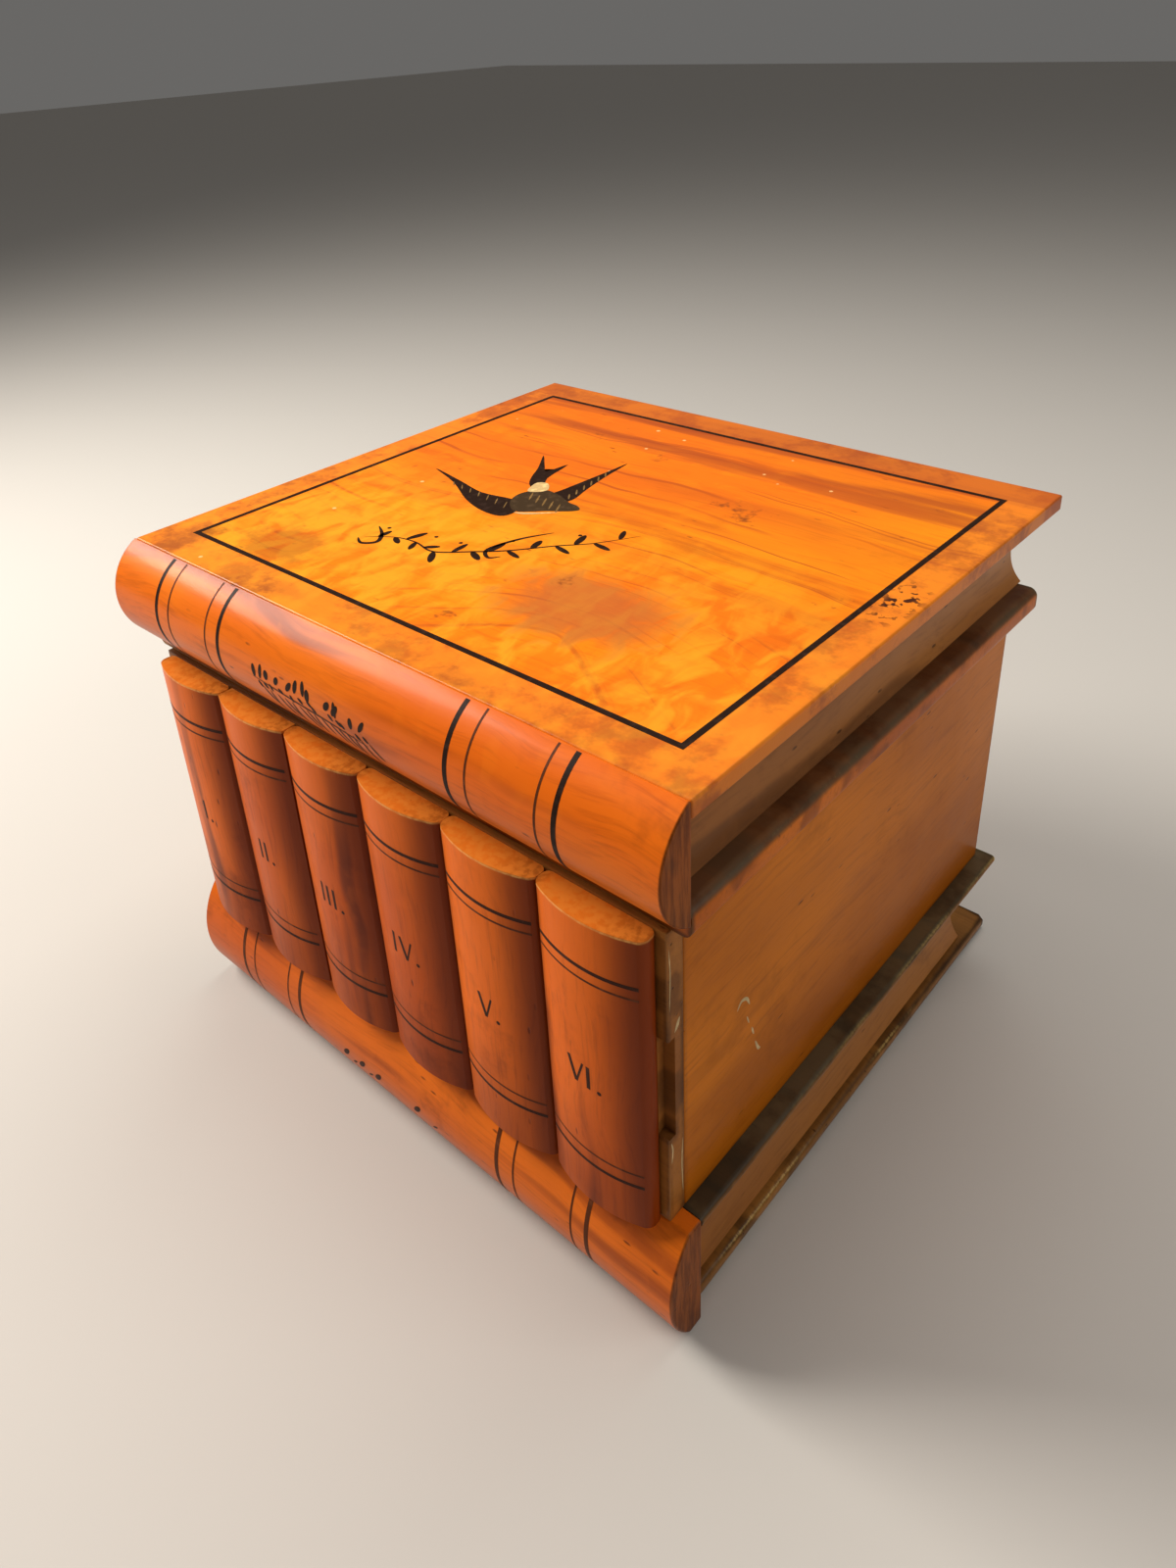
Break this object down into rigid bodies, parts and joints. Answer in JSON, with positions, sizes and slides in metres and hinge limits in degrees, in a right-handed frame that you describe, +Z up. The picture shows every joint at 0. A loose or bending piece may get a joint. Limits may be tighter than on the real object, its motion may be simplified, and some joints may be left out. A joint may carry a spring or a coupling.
{
  "type": "wooden puzzle box",
  "caption": "Wooden keepsake box shaped as a row of books between two lying books, with a hinged lid, a loose book over the keyhole and a hidden key drawer.",
  "frame": {"origin": "middle of the underside, at the centre of the bounding box's bottom face", "axes": "+X to the right and along the width, +Y to the back where the hinges are, +Z up; the book spines face -Y"},
  "size_m": [0.16, 0.152, 0.132],
  "materials": {
    "lid_top": "gloss lacquer over pale figured olive wood",
    "spine": "gloss lacquer",
    "books": "gloss lacquer",
    "case_wood": "satin lacquer",
    "pages": "worn satin",
    "inner_wood": "bare",
    "stringing": "satin",
    "lining": "matte",
    "brass": "aged satin",
    "steel": "aged"
  },
  "bodies": {
    "case": {"base_lower_board": "case_wood", "base_upper_board": "case_wood", "base_spine": "spine", "base_pages_left": "pages", "base_pages_back": "pages", "drawer_runners": "inner_wood", "drawer_stop_peg": "inner_wood", "case_floor": "inner_wood", "case_left": "case_wood", "case_right": "case_wood", "case_back": "case_wood", "case_front": "books", "floor_lining": "lining", "book_1": "books", "book_3": "books", "book_4": "books", "book_5": "books", "book_6": "books", "lock_case": "brass", "lock_cap": "brass", "lock_pin": "steel", "lock_spring": "steel", "lock_screws": "brass", "escutcheon": "brass", "hinge_case_leaves": "brass", "hinge_case_screws": "brass", "hinge_pins": "steel"},
    "lid": {"hinge_lid_leaves": "brass", "hinge_lid_screws": "brass", "lid_top_board": "lid_top", "lid_lower_board": "case_wood", "lid_spine": "spine", "lid_pages_left": "pages", "lid_pages_right": "pages", "lid_pages_back": "pages", "lid_stringing": "stringing", "lid_lining": "lining", "strike_plate": "brass", "strike_screws": "brass"},
    "loose_book": {"book_2": "books", "book_pegs": "inner_wood"},
    "key_drawer": {"drawer_front": "pages", "drawer_tray": "inner_wood", "key": "steel"},
    "bolt": {"lock_bolt": "steel"}
  },
  "joints": [
    {"name": "lid_hinge", "type": "hinge", "parent": "case", "child": "lid", "pos_m": [0, 0.0669, 0.1039], "axis": [-1, 0, 0], "range_deg": [0, 95]},
    {"name": "book_slide", "type": "slide", "parent": "case", "child": "loose_book", "axis": [0, -1, 0], "range_m": [0, 0.03]},
    {"name": "drawer_slide", "type": "slide", "parent": "case", "child": "key_drawer", "axis": [1, 0, 0], "range_m": [0, 0.03]},
    {"name": "bolt_slide", "type": "slide", "parent": "case", "child": "bolt", "axis": [0, 0, 1], "range_m": [0, 0.0035]}
  ]
}
